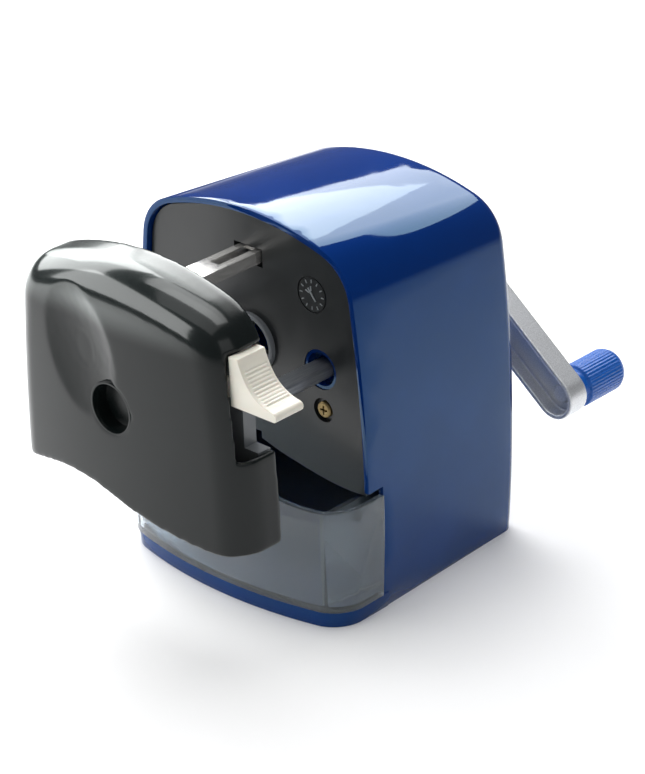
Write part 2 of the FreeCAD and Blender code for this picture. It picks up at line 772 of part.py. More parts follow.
shape_feature("crank_screw", crank_screw(), rim_frame(Rotation(Vector(0, 0, 1), 180), (0, CRANK_BACK + 0.8, AXIS)))

# ---------------------------------------------------------------------------------------------
# Head: cover, back plate, guide bars, rail, jaws and release lever
# ---------------------------------------------------------------------------------------------
HEAD_BACK = -plain(dims.head_pulled_out)
HEAD_FACE = -plain(dims.head_face)
HEAD_TOP = plain(dims.head_top)
HEAD_HALF = plain(dims.front_half_width)
WALL = plain(dims.head_wall)
ENTRY = plain(dims.entry_radius)
NOTCH_LOW = 63.5
NOTCH_HIGH = 92.3
NOTCH_FRONT = -43.6
BACK_PLATE_FRONT = -36.6
BACK_PLATE_BACK = -34.8
WINDOW_SIDE = 34.2
WINDOW_TOP = 93.5
LIP_WIDTH = 2.8
INNER_ROUND_RELIEF = 1.6  # leaves the lever's arm room in the corner of the hollow
MOUNT_PLACES = [(-32.0, 84.0), (32.0, 56.0), (-32.0, 56.0), (17.0, 97.0)]


def head_form(inset, round_radius, bottom_lift):
    """The head's bowed block: an arched outline, a crowned face and a rounded front edge."""
    outline = (HEAD_HALF, HEAD_TOP)
    front = HEAD_FACE - 12.0
    form = arch_loft((*outline, front), (*outline, HEAD_BACK), inset, inset)
    crown = plain(dims.head_crown)
    face = HEAD_FACE + inset
    form = form.common(Part.makeCylinder(crown - inset, 200, Vector(0, face + crown - inset, -50)))
    edges = [edge for edge in form.Edges
             if edge.BoundBox.YMax < HEAD_BACK - 5 and edge.BoundBox.ZMax > 2 and edge.BoundBox.XLength > 0.5]
    form = form.makeFillet(round_radius, edges)
    return form.cut(below_wave(bottom_lift, HEAD_FACE - 5, HEAD_BACK + 5))


def head_cover():
    cover = head_form(0.0, plain(dims.head_round), 1.4)
    hollow = head_form(WALL, plain(dims.head_round) - WALL - INNER_ROUND_RELIEF, 1.4 + WALL)
    hollow = hollow.fuse(hollow.translated(Vector(0, 3.0, 0)))
    cover = cover.cut(hollow)
    length = plain(dims.entry_length)
    tube = rod(ENTRY + 1.9, HEAD_FACE + 0.6, HEAD_FACE + length, 0, AXIS)
    cover = cover.fuse(tube).cut(rod(ENTRY, HEAD_FACE - 3, HEAD_BACK, 0, AXIS))
    for x, z in MOUNT_PLACES:
        post = rod(3.0, HEAD_FACE, BACK_PLATE_FRONT, x, z)
        post = post.common(head_form(WALL / 2, plain(dims.head_round) - WALL / 2, 1.4 + WALL / 2))
        cover = cover.fuse(post)
    for x, z in MOUNT_PLACES:
        cover = cover.cut(rod(plain(dims.screw_radius), BACK_PLATE_FRONT - 4.0, HEAD_BACK, x, z))
    return cover.cut(block(36.0, 46.0, NOTCH_FRONT, HEAD_BACK + 2, NOTCH_LOW, NOTCH_HIGH))


shape_feature("head_cover", head_cover())

RAIL = plain(dims.rail_level)
GUIDE = plain(dims.guide_level)
SPREAD = plain(dims.guide_spread)


def head_back_plate():
    """The inner frame that carries the bars, the rail and the jaws."""
    outline = (HEAD_HALF, HEAD_TOP)
    plate = arch_loft((*outline, BACK_PLATE_FRONT), (*outline, BACK_PLATE_BACK), WALL + 0.15, WALL + 0.15)
    plate = plate.cut(below_wave(1.4 + WALL + 0.15, -60, 0))
    rear = HEAD_BACK - 0.2
    lip = arch_loft((*outline, BACK_PLATE_BACK), (*outline, rear), WALL + 0.15, WALL + 0.15)
    lip = lip.common(block(WINDOW_SIDE - LIP_WIDTH, 46.0, -60, 0, NOTCH_LOW - LIP_WIDTH, WINDOW_TOP))
    plate = plate.fuse(lip)
    holes = [rod(13.0, -40, -30, 0, AXIS), block(WINDOW_SIDE, 46.0, -40, -30, NOTCH_LOW, WINDOW_TOP)]
    width = plain(dims.guide_width)
    thick = plain(dims.guide_thickness)
    for side in (-1, 1):
        x = side * SPREAD
        holes.append(block(x - width / 2, x + width / 2, -40, -30, GUIDE - thick / 2, GUIDE + thick / 2))
    for x, z in MOUNT_PLACES:
        holes.append(rod(plain(dims.screw_radius), -40, -30, x, z))
    wide = plain(dims.rail_width)
    high = plain(dims.rail_height)
    holes.append(block(-wide / 2, wide / 2, -40, -30, RAIL - high / 2, RAIL + high / 2))
    return plate.cut(holes)


shape_feature("head_back_plate", head_back_plate())

BAR_FRONT = BACK_PLATE_FRONT - 0.1
BAR_BACK = 27.6
STOP_THICKNESS = 1.3
for side_name, side in (("left", -1), ("right", 1)):
    bar = new_body(side_name + "_guide_bar")
    section = new_sketch(bar, side_name + "_bar_section")
    draw_box(section, dims.guide_width, dims.guide_thickness)
    length = pad(bar, section, BAR_BACK - BAR_FRONT, side_name + "_bar_length")
    round_edges(bar, length, dims.guide_round,
                lambda edge, middle: abs(edge.Vertexes[0].Z - edge.Vertexes[1].Z) > 10, side_name + "_bar_rounds")
    finish(bar, bar.Name, front_frame(side * dims.guide_spread, BAR_BACK, dims.guide_level))
    stop = new_body(side_name + "_bar_stop")
    washer = new_sketch(stop, side_name + "_stop_outline")
    draw_circle(washer, 5.3)
    pad(stop, washer, STOP_THICKNESS, side_name + "_stop_disc")
    seat = new_sketch(stop, side_name + "_stop_seat")
    draw_box(seat, dims.guide_width, dims.guide_thickness)
    pocket(stop, seat, 3.0, side_name + "_stop_hole")
    finish(stop, stop.Name, front_frame(side * dims.guide_spread, BAR_BACK - 0.3, dims.guide_level))

SPRING_FRONT = BUSH_FRONT + 7.4
SPRING_BACK = BAR_BACK - 0.3 - STOP_THICKNESS - 0.1
SPRING_RADIUS = 4.9
SPRING_WIRE = 0.35
SPRING_TURNS = 7


def feed_spring():
    """A compression spring wound along +Y round a guide bar."""
    reach = SPRING_BACK - SPRING_FRONT - 2 * SPRING_WIRE
    helix = Part.makeHelix(reach / SPRING_TURNS, reach, SPRING_RADIUS)
    start = Part.Circle(Vector(SPRING_RADIUS, 0, 0), Vector(0, 1, 0.08), SPRING_WIRE).toShape()
    return Part.Wire(helix.Edges).makePipeShell([Part.Wire(start)], True, True)


for side_name, side in (("left", -1), ("right", 1)):
    spring_place = rim_frame(Rotation(Vector(1, 0, 0), -90), (side * SPREAD, SPRING_FRONT + SPRING_WIRE, GUIDE))
    shape_feature(side_name + "_feed_spring", feed_spring(), spring_place)


def latch_rail():
    """The pressed channel over the axis; the catch drops into its slot."""
    wide = plain(dims.rail_width)
    high = plain(dims.rail_height)
    wall = plain(dims.rail_wall)
    back = 26.0
    rail = block(-wide / 2, wide / 2, BAR_FRONT, back, -high / 2, high / 2)
    rail = rail.cut(block(-wide / 2 + wall, wide / 2 - wall, -100, 100, -high, high / 2 - wall))
    slot = block(-1.7, 1.7, -11.0, 2.6, -high, high)
    return rail.cut(slot).cut(block(-1.7, 1.7, 12.0, 22.0, -high, high))


shape_feature("latch_rail", latch_rail(), rim_frame(base=(0, 0, RAIL)))

JAW_FRONT = -40.4
JAW_BACK = -38.4
GUIDE_DISC_BACK = -36.8
CAM_FRONT = -42.8
CAM_BACK = -40.7
JAW_WIDTH = 5.0
JAW_CLOSED = 2.0
JAW_LENGTH = 8.2
PEG = 8.0
PEG_RADIUS = 1.0
TRAVEL = plain(dims.jaw_travel)
SWING = math.radians(plain(dims.lever_travel))
JAW_ANGLES = (("top", 90.0), ("left", 210.0), ("right", 330.0))


def jaw_guide():
    """The fixed disc behind the jaws, with one radial channel for each."""
    disc = rod(17.0, JAW_BACK - 1.5, GUIDE_DISC_BACK).cut(rod(6.8, -60, 0))
    gap = plain(dims.slide_gap)
    for _, angle in JAW_ANGLES:
        channel = block(0.0, 20.0, JAW_FRONT - 5, JAW_BACK + gap, -JAW_WIDTH / 2 - gap, JAW_WIDTH / 2 + gap)
        channel.rotate(Vector(0, 0, 0), Vector(0, 1, 0), -angle)
        disc = disc.cut(channel)
    return disc


shape_feature("jaw_guide", jaw_guide(), axis_frame())


def jaw():
    """A gripping jaw drawn along +X, with a wedge tip and the peg that rides in the cam ring."""
    body = block(JAW_CLOSED, JAW_CLOSED + JAW_LENGTH, JAW_FRONT, JAW_BACK, -JAW_WIDTH / 2, JAW_WIDTH / 2)
    for sign in (-1, 1):
        bevel = block(-6.0, 0.0, -60, 0, -0.1, 8.0)
        bevel.rotate(Vector(0, 0, 0), Vector(0, 1, 0), -32.0)
        if sign < 0:
            bevel = bevel.mirror(Vector(0, 0, 0), Vector(0, 0, 1))
        bevel.translate(Vector(JAW_CLOSED, 0, sign * 0.9))
        body = body.cut(bevel)
    return body.fuse(rod(PEG_RADIUS, CAM_FRONT + 0.4, JAW_FRONT + 0.5, PEG, 0))


for jaw_name, angle in JAW_ANGLES:
    turned = axis_frame().multiply(Placement(Vector(0, 0, 0), Rotation(Vector(0, 1, 0), -angle)))
    shape_feature(jaw_name + "_jaw", jaw(), turned)


def jaw_ring():
    """The cam ring: turning it drives the three pegs outwards along its slots."""
    ring = rod(15.6, CAM_FRONT, CAM_BACK).cut(rod(6.9, -60, 0))
    steps = 8
    for _, angle in JAW_ANGLES:
        for step in range(-1, steps + 2):
            share = step / steps
            where = math.radians(angle) + SWING * share
            reach = PEG + TRAVEL * share
            ring = ring.cut(rod(PEG_RADIUS + 0.25, -60, 0, reach * math.cos(where), reach * math.sin(where)))
    return ring


shape_feature("jaw_ring", jaw_ring(), axis_frame())

THUMB_FRONT = -43.0
THUMB_BACK = -33.2
THUMB_IN = 36.6
THUMB_TIP = 52.2
THUMB_LOW = 78.4
THUMB_HIGH = 91.9


def release_lever():
    """The thumb piece with its hollowed ramp, and the arm that reaches in to the cam ring."""
    def point(x, z):
        return Vector(x, THUMB_FRONT, z)

    ramp = Part.BSplineCurve()
    hollow = [point(39.6, THUMB_HIGH), point(41.4, 87.6), point(44.2, 83.9), point(48.2, 81.6)]
    ramp.interpolate(hollow + [point(51.2, 80.9)])
    tip = Part.Arc(point(51.2, 80.9), point(THUMB_TIP, 79.6), point(51.4, THUMB_LOW)).toShape()
    outline = [
        ramp.toShape(),
        tip,
        Part.LineSegment(point(51.4, THUMB_LOW), point(THUMB_IN, THUMB_LOW)).toShape(),
        Part.LineSegment(point(THUMB_IN, THUMB_LOW), point(THUMB_IN, THUMB_HIGH)).toShape(),
        Part.LineSegment(point(THUMB_IN, THUMB_HIGH), point(39.6, THUMB_HIGH)).toShape(),
    ]
    thumb = Part.Face(Part.Wire(outline)).extrude(Vector(0, THUMB_BACK - THUMB_FRONT, 0))
    arm = block(14.0, 44.0, CAM_FRONT + 0.3, CAM_BACK, -2.6, 2.6)
    arm.rotate(Vector(0, 0, 0), Vector(0, 1, 0), -22.0)
    arm.translate(Vector(0, 0, AXIS))
    arm = arm.cut(rod(15.6, -60, 0, 0, AXIS)).common(block(0, THUMB_IN + 1.0, -60, 0, 0, 120))
    return thumb.fuse(arm).removeSplitter()


shape_feature("release_lever", release_lever())


def back_plate_screws():
    """The four screws that hold the back plate on the posts of the cover, driven from behind."""
    screws = []
    for x, z in MOUNT_PLACES:
        one = screw(5.0, head_height=1.2)
        one.Placement = Placement(Vector(x, BACK_PLATE_BACK + 1.0, z), Rotation(Vector(0, 0, 1), 180))
        screws.append(one)
    return Part.makeCompound(screws)


shape_feature("back_plate_screws", back_plate_screws())

# ---------------------------------------------------------------------------------------------
# Catch and drawer
# ---------------------------------------------------------------------------------------------


def rail_catch():
    """The leaf spring behind the plate, whose nose stands in the rail's slot."""
    leaf = block(-2.6, 2.6, PLATE_BACK, PLATE_BACK + 14.0, RAIL + 4.2, RAIL + 5.0)
    foot = block(-2.6, 2.6, PLATE_BACK, PLATE_BACK + 0.9, RAIL + 4.2, RAIL + 8.0)
    nose = block(-1.2, 1.2, PLATE_BACK + 11.8, PLATE_BACK + 12.6, RAIL + 2.0, RAIL + 4.3)
    return leaf.fuse(foot).fuse(nose)


shape_feature("rail_catch", rail_catch())

DRAWER_LOW = plain(dims.floor_top) + 0.3
DRAWER_WALL = plain(dims.drawer_wall)
TRAY_TOP = 33.0
TRAY_HALF = 35.4
TRAY_BACK = 54.0


def drawer():
    """The clear drawer: a bowed front with wings, and the tray behind it."""
    high = 46.0
    floor = DRAWER_LOW + 1.6
    front = foot_loft(DRAWER_LOW, high, WING_BACK, 0.6)
    front = front.cut(foot_loft(floor, high + 4.0, WING_BACK + 9, 0.6 - DRAWER_WALL))
    above = block(-60, 60, -30, 20, -10, 70).cut(below_wave(-0.8, -30, 20))
    front = front.cut(above).cut(block(-60, 60, -2.0, 20, WING_TOP, 70))
    tray = block(-TRAY_HALF, TRAY_HALF, -10.2, TRAY_BACK, DRAWER_LOW, TRAY_TOP)
    tray = tray.makeFillet(5.0, upright_edges_behind(tray, 0.0))
    inside = block(-TRAY_HALF + 1.5, TRAY_HALF - 1.5, -12.0, TRAY_BACK - 1.5, floor, TRAY_TOP + 5)
    inside = inside.makeFillet(3.5, upright_edges_behind(inside, 0.0))
    return front.fuse(tray.cut(inside))


shape_feature("drawer", drawer())

# ---------------------------------------------------------------------------------------------
# Check and write
# ---------------------------------------------------------------------------------------------
doc.recompute()
faults = []
for item in doc.Objects:
    if any(state in ("Invalid", "Error") for state in item.State):
        faults.append(f"{item.Name}: {item.State}")
for item in subparts:
    if item.Shape.isNull() or not item.Shape.isValid():
        faults.append(f"{item.Label}: bad shape")
if faults:
    raise RuntimeError("\n".join(faults))
for item in subparts:
    item.Shape.exportStep(f"parts/{item.Label}.step")
    print(f"{item.Label:24s} volume {item.Shape.Volume:9.1f} mm3, solids {len(item.Shape.Solids)}")
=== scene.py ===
import math

import bpy
from mathutils import Matrix, Vector


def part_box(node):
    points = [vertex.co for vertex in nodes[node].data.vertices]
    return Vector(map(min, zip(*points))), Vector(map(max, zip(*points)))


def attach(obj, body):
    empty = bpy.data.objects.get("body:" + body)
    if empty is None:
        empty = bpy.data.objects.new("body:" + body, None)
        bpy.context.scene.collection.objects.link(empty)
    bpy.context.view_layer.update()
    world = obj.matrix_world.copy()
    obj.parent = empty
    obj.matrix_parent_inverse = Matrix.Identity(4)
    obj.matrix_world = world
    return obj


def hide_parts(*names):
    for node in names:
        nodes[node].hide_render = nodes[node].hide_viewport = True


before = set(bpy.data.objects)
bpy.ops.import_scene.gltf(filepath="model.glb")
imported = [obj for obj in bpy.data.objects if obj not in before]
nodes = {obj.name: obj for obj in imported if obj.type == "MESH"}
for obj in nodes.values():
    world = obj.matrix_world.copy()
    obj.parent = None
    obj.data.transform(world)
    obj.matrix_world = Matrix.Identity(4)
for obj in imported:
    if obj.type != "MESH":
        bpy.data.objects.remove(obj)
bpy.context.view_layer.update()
MM = 0.001

# ---------------------------------------------------------------------------------------------
# Shader maths: a wrapped socket that can be used in sums, and one way to add any other node
# ---------------------------------------------------------------------------------------------


class Value:
    """A socket of a material that takes part in Python sums by adding Math nodes."""

    def __init__(self, finish, socket):
        self.finish = finish
        self.socket = socket

    def sum(self, operation, *terms):
        return self.finish.node("Math", {"operation": operation}, dict(enumerate(terms)))

    def __add__(self, other):
        return self.sum("ADD", self, other)

    def __radd__(self, other):
        return self.sum("ADD", other, self)

    def __sub__(self, other):
        return self.sum("SUBTRACT", self, other)

    def __rsub__(self, other):
        return self.sum("SUBTRACT", other, self)

    def __mul__(self, other):
        return self.sum("MULTIPLY", self, other)

    def __rmul__(self, other):
        return self.sum("MULTIPLY", other, self)

    def band(self, low, high):
        """Rises smoothly from 0 at low to 1 at high."""
        settings = {"interpolation_type": "SMOOTHSTEP"}
        sockets = {"Value": self, "From Min": low, "From Max": high}
        return self.finish.node("MapRange", settings, sockets)


class Finish:
    """One material: its Principled shader and the nodes that vary over the surface."""

    def __init__(self, name, **sockets):
        self.material = bpy.data.materials.new(name)
        self.material.use_nodes = True
        self.tree = self.material.node_tree
        self.shader = self.tree.nodes["Principled BSDF"]
        self.place = self.node("TexCoord", {}, {}, "Object")
        for socket, value in sockets.items():
            label = socket.replace("_", " ").title().replace("Ior", "IOR")
            self.shader.inputs[label].default_value = value

    def node(self, kind, settings, sockets, output=0):
        made = self.tree.nodes.new("ShaderNode" + kind)
        for setting, value in settings.items():
            setattr(made, setting, value)
        for socket, value in sockets.items():
            self.feed(made.inputs[socket], value)
        return Value(self, made.outputs[output])

    def feed(self, socket, value):
        if isinstance(value, Value):
            self.tree.links.new(value.socket, socket)
        else:
            socket.default_value = value

    def set(self, socket, value):
        self.feed(self.shader.inputs[socket], value)

    def axis(self, letter):
        """One coordinate of the surface, in metres."""
        return self.node("SeparateXYZ", {}, {"Vector": self.place}, letter)

    def stretched(self, *scale):
        """The surface's place, stretched along each axis."""
        settings = {"vector_type": "TEXTURE"}
        sockets = {"Vector": self.place, "Scale": [1.0 / share for share in scale]}
        return self.node("Mapping", settings, sockets)

    def noise(self, size, detail=2.0, rough=0.5, place=None):
        """A soft pattern whose blots are about size millimetres across."""
        sockets = {"Vector": place or self.place, "Scale": 1000.0 / size, "Detail": detail,
                   "Roughness": rough}
        return self.node("TexNoise", {}, sockets)

    def mix(self, share, first, second):
        """A colour part of the way between two others."""
        return self.node("Mix", {"data_type": "RGBA"}, {0: share, 6: first, 7: second}, 2)

    def bump(self, height, depth, strength=1.0):
        """Raises the surface by depth millimetres where height is 1."""
        sockets = {"Height": height, "Distance": depth * MM, "Strength": strength}
        self.set("Normal", self.node("Bump", {}, sockets))


def linear(red, green, blue, alpha=1.0):
    """A colour given as shown on a screen, in shader numbers."""
    shown = (red / 255.0, green / 255.0, blue / 255.0)
    return [c / 12.92 if c <= 0.04045 else ((c + 0.055) / 1.055) ** 2.4 for c in shown] + [alpha]


def moulded_plastic(name, colour, rough, grain=0.25, grain_depth=0.004, smudge=0.06, **sockets):
    """Moulded plastic: an even colour that drifts a little, a fine grain and faint handling marks."""
    finish = Finish(name, **sockets)
    drift = finish.noise(22.0, 3.0)
    darker = [channel * 0.86 for channel in colour[:3]] + [1.0]
    finish.set("Base Color", finish.mix(drift.band(0.35, 0.75), darker, colour))
    marks = finish.noise(6.0, 5.0, 0.62).band(0.42, 0.72)
    finish.set("Roughness", rough + smudge * marks)
    finish.bump(finish.noise(grain, 2.0), grain_depth)
    return finish


def plastic(name, colour, rough, grain=0.25, grain_depth=0.004, smudge=0.06, **sockets):
    return moulded_plastic(name, colour, rough, grain, grain_depth, smudge, **sockets).material


def metal(name, colour, rough, lines=(1.0, 1.0, 1.0), depth=0.003, grain=0.35, spread=0.14,
          metallic=0.75):
    """Metal with drawn or turned lines, a patchy polish and a thin dull film."""
    finish = Finish(name, metallic=metallic)
    place = finish.stretched(*lines)
    scratches = finish.noise(grain, 4.0, 0.6, place)
    patches = finish.noise(5.0, 3.0)
    tone = [channel * 0.72 for channel in colour[:3]] + [1.0]
    finish.set("Base Color", finish.mix(scratches.band(0.3, 0.7), tone, colour))
    finish.set("Roughness", rough + spread * scratches + 0.08 * patches)
    finish.bump(scratches, depth)
    return finish.material


blue_gloss = plastic("deep blue gloss plastic", linear(0, 42, 112), 0.04, 0.9, 0.0005, 0.03,
                     specular_tint=(0.4, 0.82, 1.0, 1.0))
black_satin = plastic("black satin plastic", linear(30, 33, 34), 0.3, 0.2, 0.002, 0.05)
ivory = plastic("ivory plastic", linear(240, 236, 222), 0.28, 0.5, 0.002, 0.06,
                subsurface_weight=0.08, subsurface_scale=0.002)
grey_plastic = plastic("mid grey plastic", linear(112, 116, 120), 0.38, 0.2, 0.004, 0.08)
knob_plastic = plastic("blue satin plastic", linear(14, 92, 182), 0.26, 0.25, 0.0012, 0.06)
rubber = plastic("black anti-slip rubber", linear(38, 38, 40), 0.72, 0.5, 0.02, 0.08)
bar_steel = metal("drawn steel", linear(148, 152, 158), 0.24, (1.0, 0.06, 1.0))
rail_plate = metal("bright plating", linear(236, 234, 230), 0.14, (1.0, 0.08, 1.0), 0.0008, 0.5, 0.06)
cast_metal = metal("satin die-cast metal", linear(232, 234, 237), 0.3, (1.0, 1.0, 1.0), 0.001, 0.3, 0.1)
rivet_metal = metal("bright rivet", linear(226, 229, 234), 0.34, (1.0, 1.0, 1.0), 0.001, 0.3, 0.1, 0.45)
shaft_metal = metal("ground steel", linear(186, 188, 192), 0.16, (1.0, 6.0, 1.0))
cutter_metal = metal("hardened steel", linear(130, 132, 136), 0.24, (1.0, 3.0, 1.0))
gear_metal = metal("grey cast metal", linear(160, 162, 166), 0.36)
brass = metal("yellow passivated steel", linear(158, 136, 90), 0.26, (1.0, 1.0, 1.0), 0.001, 0.3)
wire = metal("spring wire", linear(178, 180, 184), 0.2)


def clear_plastic():
    """Clear moulded plastic with a faint cool tint, fine scratches and a light haze."""
    finish = Finish("clear plastic", transmission_weight=0.93, ior=1.49)
    haze = finish.noise(14.0, 3.0)
    tint = finish.mix(haze, linear(206, 220, 230), linear(226, 236, 242))
    finish.set("Base Color", tint)
    scratches = finish.noise(0.5, 4.0, 0.6, finish.stretched(0.12, 1.0, 1.0))
    finish.set("Roughness", 0.02 + 0.05 * scratches.band(0.5, 0.8))
    finish.bump(finish.noise(9.0, 2.0), 0.02)
    return finish.material


clear = clear_plastic()


def head_plastic_painted_sheen():
    """Dark satin plastic with a painted sheen: its clear coat lies thickly over the top of the head and
    fades away elsewhere, standing in for the light that falls on the top.
    """
    finish = moulded_plastic("dark green grey satin plastic", linear(16, 22, 22), 0.2, 0.3, 0.0006,
                             0.05, specular_ior_level=0.3, coat_roughness=0.1, coat_ior=1.6,
                             coat_tint=(0.9, 1.0, 0.97, 1.0))
    # Painted highlight: the coat weight, and so the sheen, is full over the top of the head, fades
    # below it and is weaker towards the head's right side and rear.
    high = finish.axis("Z").band(0.089, 0.0975)
    right = finish.axis("X").band(0.026, 0.039)
    rear = finish.axis("Y").band(-0.069, -0.058)
    finish.set("Coat Weight", high * (1.0 - 0.85 * right) * (1.0 - 0.6 * rear))
    return finish.material


dark_satin = head_plastic_painted_sheen()

PAINT = {
    "housing_shell": blue_gloss,
    "left_guide_bush": blue_gloss,
    "right_guide_bush": blue_gloss,
    "underside_pad": rubber,
    "front_plate": black_satin,
    "opening_collar": grey_plastic,
    "front_plate_screws": brass,
    "ring_gear": gear_metal,
    "shaft_bush": brass,
    "rail_catch": wire,
    "head_cover": dark_satin,
    "head_back_plate": grey_plastic,
    "left_guide_bar": bar_steel,
    "right_guide_bar": bar_steel,
    "left_bar_stop": wire,
    "right_bar_stop": wire,
    "left_feed_spring": wire,
    "right_feed_spring": wire,
    "latch_rail": rail_plate,
    "jaw_guide": gear_metal,
    "back_plate_screws": brass,
    "release_lever": ivory,
    "jaw_ring": gear_metal,
    "top_jaw": cutter_metal,
    "left_jaw": cutter_metal,
    "right_jaw": cutter_metal,
    "drawer": clear,
    "cutter_carrier": gear_metal,
    "cutter_axle": shaft_metal,
    "crank_shaft": shaft_metal,
    "crank_collar": black_satin,
    "shaft_ring": wire,
    "crank_arm": cast_metal,
    "knob_pin": rivet_metal,
    "crank_screw": shaft_metal,
    "cutter": cutter_metal,
    "cutter_pinion": cutter_metal,
    "knob": knob_plastic,
}
for name, material in PAINT.items():
    for place in nodes[name].material_slots:
        place.material = material

# ---------------------------------------------------------------------------------------------
# Modelling helpers
# ---------------------------------------------------------------------------------------------


def nothing_selected():
    if bpy.context.object and bpy.context.object.mode != "OBJECT":
        bpy.ops.object.mode_set(mode="OBJECT")
    bpy.ops.object.select_all(action="DESELECT")


def only(piece):
    """Makes one piece the only one selected, and the active one."""
    nothing_selected()
    piece.select_set(True)
    bpy.context.view_layer.objects.active = piece
    return piece


def taken_from(node, name):
    """A merged copy of a CAD node's mesh, ready to be worked on."""
    piece = bpy.data.objects.new(name, nodes[node].data.copy())
    bpy.context.scene.collection.objects.link(piece)
    only(piece)
    bpy.ops.object.mode_set(mode="EDIT")
    bpy.ops.mesh.select_all(action="SELECT")
    bpy.ops.mesh.remove_doubles(threshold=0.002 * MM)
    bpy.ops.mesh.customdata_custom_splitnormals_clear()
    bpy.ops.object.mode_set(mode="OBJECT")
    return piece


def worked(piece, kind, **settings):
    """Adds a modifier, sets it and applies it."""
    only(piece)
    modifier = piece.modifiers.new(kind.lower(), kind)
    for setting, value in settings.items():
        setattr(modifier, setting, value)
    bpy.ops.object.modifier_apply(modifier=modifier.name)


def moulded(piece, voxel, rounds):
    """Gives a piece an even skin with the small roundings that a mould leaves."""
    worked(piece, "REMESH", mode="VOXEL", voxel_size=voxel * MM, adaptivity=0.0)
    worked(piece, "SMOOTH", factor=0.5, iterations=rounds)
    only(piece)
    bpy.ops.object.shade_smooth()


def softened(piece, width, angle=35.0):
    """Rounds the sharp edges a little and shades the rest smooth."""
    limit = math.radians(angle)
    worked(piece, "BEVEL", width=width * MM, segments=2, limit_method="ANGLE", angle_limit=limit,
           harden_normals=False, use_clamp_overlap=True)
    only(piece)
    bpy.ops.object.shade_smooth_by_angle(angle=limit)


def carved(piece, cutters):
    """Cuts the joined cutters out of a piece."""
    only(cutters[0])
    for cutter in cutters:
        cutter.select_set(True)
    if len(cutters) > 1:
        bpy.ops.object.join()
    tool = bpy.context.object
    worked(piece, "BOOLEAN", operation="DIFFERENCE", object=tool, solver="EXACT", use_self=True)
    bpy.data.objects.remove(tool)


def chosen(piece, wanted):
    """Enters edit mode with the vertices selected that a test on their place in millimetres picks."""
    only(piece)
    bpy.ops.object.mode_set(mode="EDIT")
    bpy.ops.mesh.select_mode(type="VERT")
    bpy.ops.mesh.select_all(action="DESELECT")
    bpy.ops.object.mode_set(mode="OBJECT")
    for vertex in piece.data.vertices:
        vertex.select = wanted(vertex.co / MM)
    bpy.ops.object.mode_set(mode="EDIT")


def settled(piece):
    """Moves a piece's place and turn into its mesh."""
    only(piece)
    bpy.ops.object.transform_apply(location=True, rotation=True, scale=True)


def fitted(piece, node, material, body):
    """Puts a finished piece in place of a CAD node."""
    piece.data.materials.clear()
    piece.data.materials.append(material)
    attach(piece, body)
    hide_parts(node)


def rod(radius, length, middle, sides=12):
    """A round bar along Y, given in millimetres."""
    place = Vector(middle) * MM
    bpy.ops.mesh.primitive_cylinder_add(vertices=sides, radius=radius * MM, depth=length * MM,
                                        location=place, rotation=(math.pi / 2, 0, 0))
    settled(bpy.context.object)
    return bpy.context.object


# ---------------------------------------------------------------------------------------------
# Head: the shell with its finger scoop and the raised lip of the pencil hole
# ---------------------------------------------------------------------------------------------
AXIS = 68.7
FACE = -74.1
FACE_SKIN = -68.0
LIP_RADIUS = 7.4
LIP_LENGTH = 4.6
LIP_WALL = 0.75
SCOOP_X = -10.6
SCOOP_Z = 82.2
SCOOP_TILT = math.radians(14.6)
SCOOP_HALF_HEIGHT = 17.8
SCOOP_HALF_WIDTH = 12.6
SCOOP_DEPTH = 2.0
SCOOP_STEPS = 12

head_shell = taken_from("head_cover", "head_shell")
moulded(head_shell, 0.5, 6)


def scoop_reach(at):
    """How far out a place lies in the scoop: 0 in its middle and 1 at its edge."""
    x = at.x - SCOOP_X
    z = at.z - SCOOP_Z
    along = z * math.cos(SCOOP_TILT) - x * math.sin(SCOOP_TILT)
    across = z * math.sin(SCOOP_TILT) + x * math.cos(SCOOP_TILT)
    return math.hypot(along / SCOOP_HALF_HEIGHT, across / SCOOP_HALF_WIDTH)


for step in range(SCOOP_STEPS):
    edge = math.sqrt(1.0 - step / SCOOP_STEPS)
    chosen(head_shell, lambda at: at.y < FACE_SKIN and scoop_reach(at) < edge)
    bpy.ops.transform.translate(value=(0, SCOOP_DEPTH / SCOOP_STEPS * MM, 0))
    bpy.ops.object.mode_set(mode="OBJECT")
worked(head_shell, "SMOOTH", factor=0.5, iterations=14)
fitted(head_shell, "head_cover", dark_satin, "head")

entry_lip = rod(LIP_RADIUS, LIP_LENGTH, (0, FACE + 2.4, AXIS), 96)
entry_lip.name = "entry_lip"
only(entry_lip)
bpy.ops.object.mode_set(mode="EDIT")
bpy.ops.mesh.select_mode(type="FACE")
bpy.ops.mesh.select_all(action="DESELECT")
bpy.ops.object.mode_set(mode="OBJECT")
for face in entry_lip.data.polygons:
    face.select = face.normal.y < -0.9
bpy.ops.object.mode_set(mode="EDIT")
bpy.ops.mesh.inset(thickness=LIP_WALL * MM)
bpy.ops.mesh.extrude_region_move(TRANSFORM_OT_translate={"value": (0, (LIP_LENGTH - 0.2) * MM, 0)})
bpy.ops.mesh.delete(type="FACE")
bpy.ops.object.mode_set(mode="OBJECT")
softened(entry_lip, 0.25)
entry_lip.data.materials.append(dark_satin)
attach(entry_lip, "head")

# ---------------------------------------------------------------------------------------------
# Release lever: grooves across the hollowed ramp
# ---------------------------------------------------------------------------------------------
lever = taken_from("release_lever", "thumb_lever")
RAMP = [(39.6, 91.9), (41.4, 87.6), (44.2, 83.9), (48.2, 81.6), (51.2, 80.9)]
GROOVES = 11
GROOVE_RADIUS = 0.36
THUMB_MIDDLE = -61.9


def on_ramp(share):
    """A point part of the way down the ramp, between the corners of its profile."""
    whole = share * (len(RAMP) - 1)
    start = min(int(whole), len(RAMP) - 2)
    part = whole - start
    return [RAMP[start][axis] * (1 - part) + RAMP[start + 1][axis] * part for axis in (0, 1)]


